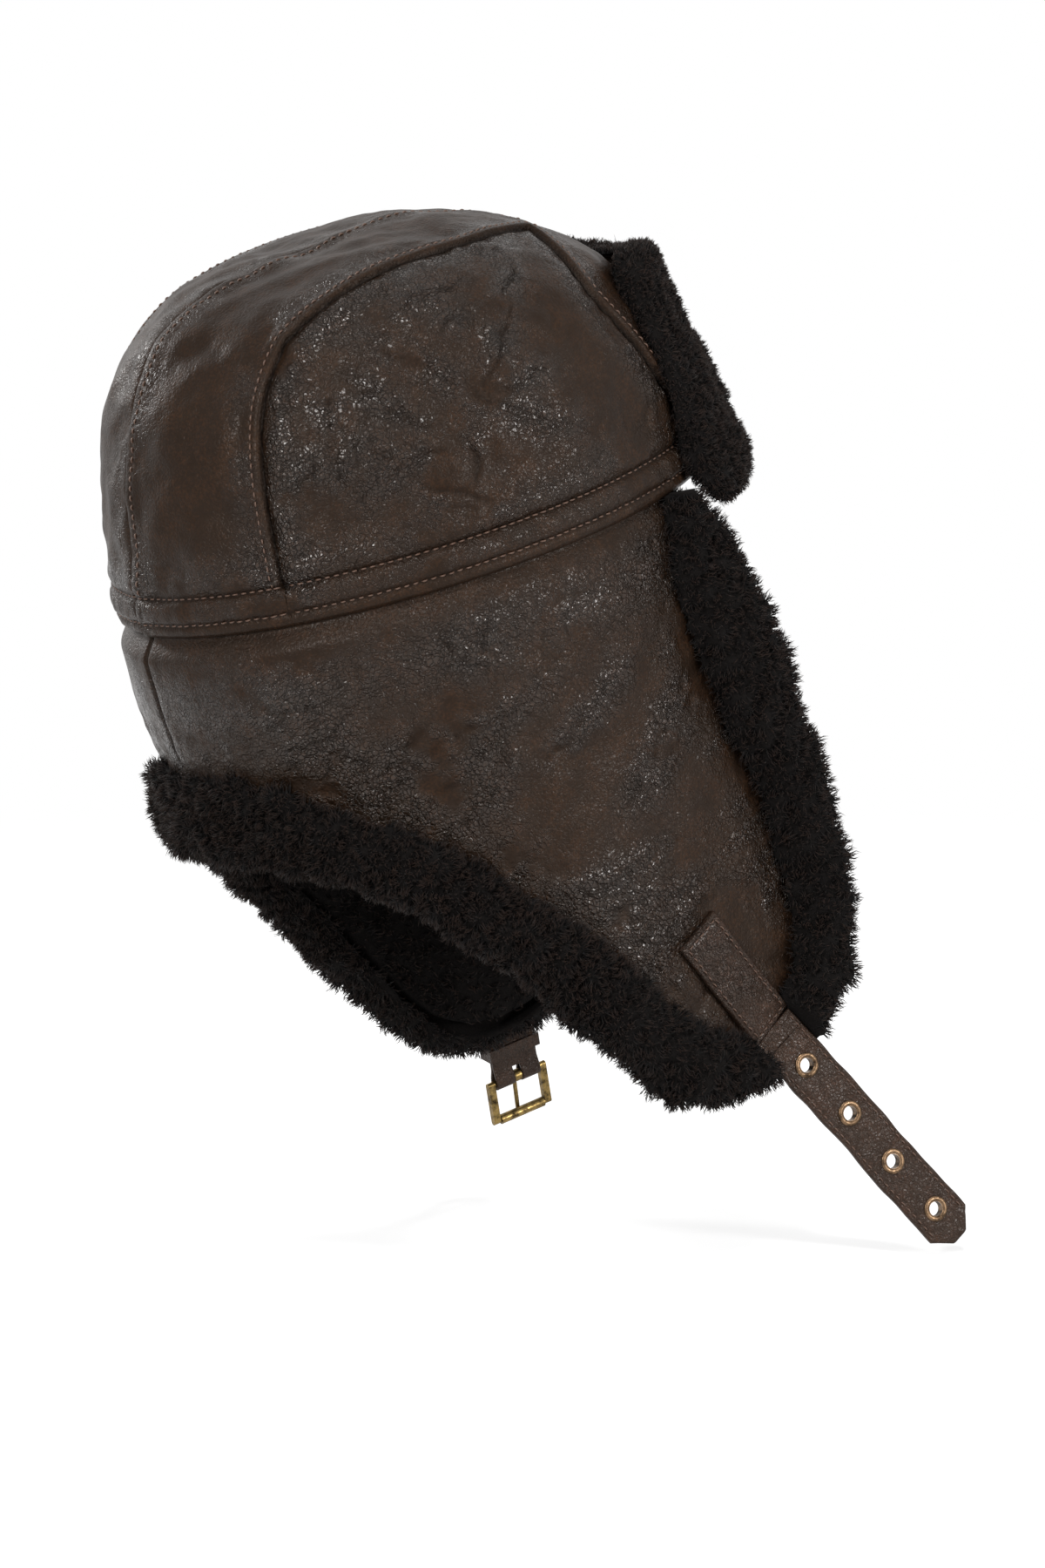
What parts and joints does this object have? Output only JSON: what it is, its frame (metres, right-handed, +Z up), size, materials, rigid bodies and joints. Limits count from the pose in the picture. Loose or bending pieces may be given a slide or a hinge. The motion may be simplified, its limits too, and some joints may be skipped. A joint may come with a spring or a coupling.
{
  "type": "trapper hat",
  "caption": "Sheepskin trapper hat with a panelled crown, turned-up front flap, folding ear flaps, wool edges and a chin strap with a roller buckle.",
  "frame": {"origin": "middle of the oval of the hem's lower edge, where a head enters the crown", "axes": "+X towards the face, +Y towards the wearer's left, +Z up as worn; the hem plane is tipped back 16 degrees, front edge up"},
  "size_m": [0.2899, 0.2168, 0.3788],
  "materials": {
    "hide": "dark brown nappa-finished sheepskin, satin",
    "wool": "black-brown sheared sheep's wool",
    "strap_leather": "dark brown nappa, stitched",
    "antique_brass": "antiqued brass"
  },
  "bodies": {
    "hat": {"crown_side_right": "hide", "crown_side_left": "hide", "crown_centre_right": "hide", "crown_centre_left": "hide", "crown_wool_side_right": "wool", "crown_wool_side_left": "wool", "crown_wool_centre_right": "wool", "crown_wool_centre_left": "wool", "neck_guard_right": "hide", "neck_guard_left": "hide", "neck_wool_right": "wool", "neck_wool_left": "wool", "neck_cuff_right": "wool", "neck_cuff_left": "wool", "temple_cuff_right": "wool", "temple_cuff_left": "wool"},
    "visor": {"visor_hide": "hide", "visor_wool": "wool"},
    "ear_right": {"ear_flap_right": "hide", "ear_wool_right": "wool", "ear_cuff_right": "wool", "strap_base": "strap_leather", "base_eyelet": "antique_brass", "base_washer": "antique_brass"},
    "ear_left": {"ear_flap_left": "hide", "ear_wool_left": "wool", "ear_cuff_left": "wool", "tab_base": "strap_leather"},
    "strap": {"strap_tongue": "strap_leather", "tongue_eyelets": "antique_brass", "tongue_washers": "antique_brass"},
    "tab": {"buckle_tab": "strap_leather", "keeper": "strap_leather"},
    "buckle": {"buckle_frame": "antique_brass"},
    "prong": {"buckle_prong": "antique_brass"},
    "roller": {"buckle_roller": "antique_brass"}
  },
  "joints": [
    {"name": "visor_fold", "type": "hinge", "parent": "hat", "child": "visor", "pos_m": [0.09805, 0, 0.02812], "axis": [0, 1, 0], "range_deg": [0, 100]},
    {"name": "ear_right_fold", "type": "hinge", "parent": "hat", "child": "ear_right", "pos_m": [0.00303, -0.1099, -0.01057], "axis": [-0.9613, 0, -0.2756], "range_deg": [0, 170], "stiffness_Nm_per_rad": 0.12, "springref_deg": -7.33},
    {"name": "ear_left_fold", "type": "hinge", "parent": "hat", "child": "ear_left", "pos_m": [0.00303, 0.1099, -0.01057], "axis": [0.9613, 0, 0.2756], "range_deg": [0, 170], "stiffness_Nm_per_rad": 0.12, "springref_deg": -7.33},
    {"name": "strap_bend", "type": "hinge", "parent": "ear_right", "child": "strap", "pos_m": [0.11598, -0.09484, -0.19954], "axis": [-0.7547, 0, -0.6561], "range_deg": [-60, 60], "stiffness_Nm_per_rad": 0.02},
    {"name": "tab_bend", "type": "hinge", "parent": "ear_left", "child": "tab", "pos_m": [0.09705, 0.09597, -0.20785], "axis": [0.9613, 0, 0.2756], "range_deg": [-45, 60], "stiffness_Nm_per_rad": 0.02},
    {"name": "buckle_swing", "type": "hinge", "parent": "tab", "child": "buckle", "pos_m": [0.10139, 0.09875, -0.22299], "axis": [0.9613, 0, 0.2756], "range_deg": [-60, 30]},
    {"name": "prong_swing", "type": "hinge", "parent": "buckle", "child": "prong", "pos_m": [0.10139, 0.09875, -0.22299], "axis": [0.9613, 0, 0.2756], "range_deg": [0, 90]},
    {"name": "roller_spin", "type": "hinge", "parent": "buckle", "child": "roller", "pos_m": [0.1056, 0.10144, -0.23767], "axis": [0.9613, 0, 0.2756], "continuous": true}
  ]
}
